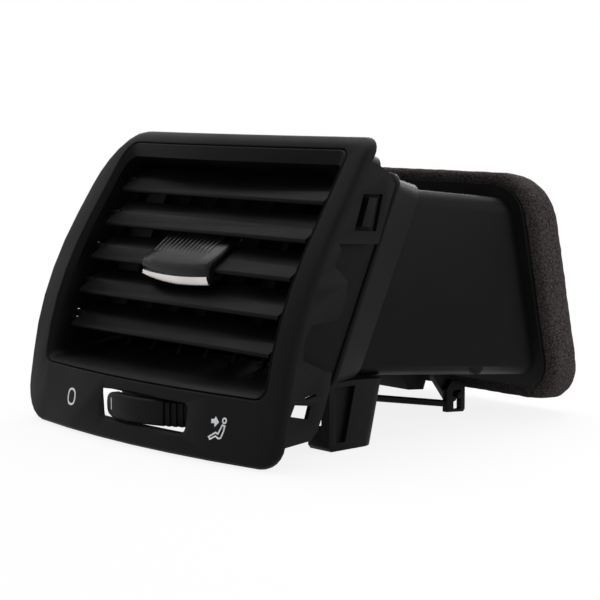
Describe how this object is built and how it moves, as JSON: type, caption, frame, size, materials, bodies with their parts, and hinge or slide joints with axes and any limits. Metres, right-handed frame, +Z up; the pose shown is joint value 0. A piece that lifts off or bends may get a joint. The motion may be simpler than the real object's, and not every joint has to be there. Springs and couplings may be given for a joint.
{
  "type": "dashboard air vent",
  "caption": "Side dashboard air vent with tilting slats, a sliding knob that turns the vanes behind them, and a thumbwheel that shuts a flap in a foam-sealed duct.",
  "frame": {"origin": "under the middle of the whole vent, on the plane of its lowest edges", "axes": "+Z up, -Y out of the face towards the seat, +X to the right when facing the vent"},
  "size_m": [0.1626, 0.1869, 0.1195],
  "materials": {
    "bezel_plastic": "fine-grained black",
    "frame_plastic": "satin black",
    "slat_plastic": "satin black",
    "vane_plastic": "satin black",
    "knob_plastic": "satin dark grey",
    "knob_chrome": "polished",
    "housing_plastic": "smooth black",
    "duct_plastic": "smooth black",
    "drive_plastic": "satin black",
    "screw_steel": "plain",
    "seal_foam": "open-cell foam, brown-grey"
  },
  "bodies": {
    "frame": {"bezel": "bezel_plastic", "inner_frame": "frame_plastic", "housing": "housing_plastic", "duct": "duct_plastic", "foam_seal": "seal_foam", "wheel_screw": "screw_steel"},
    "slat_3": {"slat_3": "slat_plastic"},
    "slat_1": {"slat_1": "slat_plastic"},
    "slat_2": {"slat_2": "slat_plastic"},
    "slat_4": {"slat_4": "slat_plastic"},
    "slat_5": {"slat_5": "slat_plastic"},
    "slat_link": {"slat_link": "frame_plastic"},
    "knob": {"knob": "knob_plastic", "knob_trim": "knob_chrome"},
    "vane_1": {"vane_1": "vane_plastic"},
    "vane_2": {"vane_2": "vane_plastic"},
    "vane_3": {"vane_3": "vane_plastic"},
    "vane_4": {"vane_4": "vane_plastic"},
    "vane_5": {"vane_5": "vane_plastic"},
    "vane_6": {"vane_6": "vane_plastic"},
    "vane_7": {"vane_7": "vane_plastic"},
    "vane_link": {"vane_link": "frame_plastic"},
    "thumbwheel": {"thumbwheel": "drive_plastic"},
    "control_rod": {"control_rod": "drive_plastic"},
    "flap": {"flap": "duct_plastic", "flap_seal": "seal_foam", "flap_crank": "drive_plastic"}
  },
  "joints": [
    {"name": "slat_3_tilt", "type": "hinge", "parent": "frame", "child": "slat_3", "pos_m": [0, -0.05751, 0.07127], "axis": [-1, 0, 0], "range_deg": [-3, 54]},
    {"name": "slat_1_tilt", "type": "hinge", "parent": "frame", "child": "slat_1", "pos_m": [0, -0.06798, 0.04367], "axis": [-1, 0, 0], "range_deg": [-3.1, 54.1]},
    {"name": "slat_2_tilt", "type": "hinge", "parent": "frame", "child": "slat_2", "pos_m": [0, -0.06359, 0.05747], "axis": [-1, 0, 0], "range_deg": [-3.1, 54.1]},
    {"name": "slat_4_tilt", "type": "hinge", "parent": "frame", "child": "slat_4", "pos_m": [0, -0.04975, 0.08507], "axis": [-1, 0, 0], "range_deg": [-3.1, 54.1]},
    {"name": "slat_5_tilt", "type": "hinge", "parent": "frame", "child": "slat_5", "pos_m": [0, -0.0407, 0.09887], "axis": [-1, 0, 0], "range_deg": [-3.1, 54.1]},
    {"name": "slat_link_swing", "type": "hinge", "parent": "slat_3", "child": "slat_link", "pos_m": [-0.0609, -0.0475, 0.07127], "axis": [-1, 0, 0], "range_deg": [-54.1, 3.1]},
    {"name": "knob_slide", "type": "slide", "parent": "slat_3", "child": "knob", "axis": [1, 0, 0], "range_m": [-0.008, 0.008]},
    {"name": "vane_1_turn", "type": "hinge", "parent": "frame", "child": "vane_1", "pos_m": [-0.0522, -0.0515, 0.03], "axis": [0, 0.4384, 0.8988], "range_deg": [-38.1, 38.1]},
    {"name": "vane_2_turn", "type": "hinge", "parent": "frame", "child": "vane_2", "pos_m": [-0.0348, -0.0515, 0.03], "axis": [0, 0.4384, 0.8988], "range_deg": [-38.1, 38.1]},
    {"name": "vane_3_turn", "type": "hinge", "parent": "frame", "child": "vane_3", "pos_m": [-0.0174, -0.0515, 0.03], "axis": [0, 0.4384, 0.8988], "range_deg": [-38.1, 38.1]},
    {"name": "vane_4_turn", "type": "hinge", "parent": "frame", "child": "vane_4", "pos_m": [0, -0.0515, 0.03], "axis": [0, 0.4384, 0.8988], "range_deg": [-38.1, 38.1]},
    {"name": "vane_5_turn", "type": "hinge", "parent": "frame", "child": "vane_5", "pos_m": [0.0174, -0.0515, 0.03], "axis": [0, 0.4384, 0.8988], "range_deg": [-38.1, 38.1]},
    {"name": "vane_6_turn", "type": "hinge", "parent": "frame", "child": "vane_6", "pos_m": [0.0348, -0.0515, 0.03], "axis": [0, 0.4384, 0.8988], "range_deg": [-38.1, 38.1]},
    {"name": "vane_7_turn", "type": "hinge", "parent": "frame", "child": "vane_7", "pos_m": [0.0522, -0.0515, 0.03], "axis": [0, 0.4384, 0.8988], "range_deg": [-38.1, 38.1]},
    {"name": "vane_link_swing", "type": "hinge", "parent": "vane_1", "child": "vane_link", "pos_m": [-0.0522, -0.01234, 0.09546], "axis": [0, 0.4384, 0.8988], "range_deg": [-38.1, 38.1]},
    {"name": "wheel_turn", "type": "hinge", "parent": "frame", "child": "thumbwheel", "pos_m": [0, -0.0445, 0.01405], "axis": [0, 0, 1], "range_deg": [-49.8, 0]},
    {"name": "rod_swing", "type": "hinge", "parent": "thumbwheel", "child": "control_rod", "pos_m": [0.02721, -0.03187, 0.01405], "axis": [0, 0, 1], "range_deg": [-0.1, 49.9]},
    {"name": "flap_turn", "type": "hinge", "parent": "frame", "child": "flap", "pos_m": [0, 0.0381, 0.0252], "axis": [1, 0, 0], "range_deg": [-74.1, 0.1]}
  ],
  "couplings": [
    {"joint": "slat_1_tilt", "follows": "slat_3_tilt", "ratio": 1},
    {"joint": "slat_2_tilt", "follows": "slat_3_tilt", "ratio": 1},
    {"joint": "slat_4_tilt", "follows": "slat_3_tilt", "ratio": 1},
    {"joint": "slat_5_tilt", "follows": "slat_3_tilt", "ratio": 1},
    {"joint": "slat_link_swing", "follows": "slat_3_tilt", "ratio": -1},
    {"joint": "vane_1_turn", "follows": "knob_slide", "rad_per_m": 82.903},
    {"joint": "vane_2_turn", "follows": "knob_slide", "rad_per_m": 82.903},
    {"joint": "vane_3_turn", "follows": "knob_slide", "rad_per_m": 82.903},
    {"joint": "vane_4_turn", "follows": "knob_slide", "rad_per_m": 82.903},
    {"joint": "vane_5_turn", "follows": "knob_slide", "rad_per_m": 82.903},
    {"joint": "vane_6_turn", "follows": "knob_slide", "rad_per_m": 82.903},
    {"joint": "vane_7_turn", "follows": "knob_slide", "rad_per_m": 82.903},
    {"joint": "vane_link_swing", "follows": "knob_slide", "rad_per_m": -82.903},
    {"joint": "rod_swing", "follows": "wheel_turn", "ratio": -1},
    {"joint": "flap_turn", "follows": "wheel_turn", "ratio": 1.4859}
  ]
}
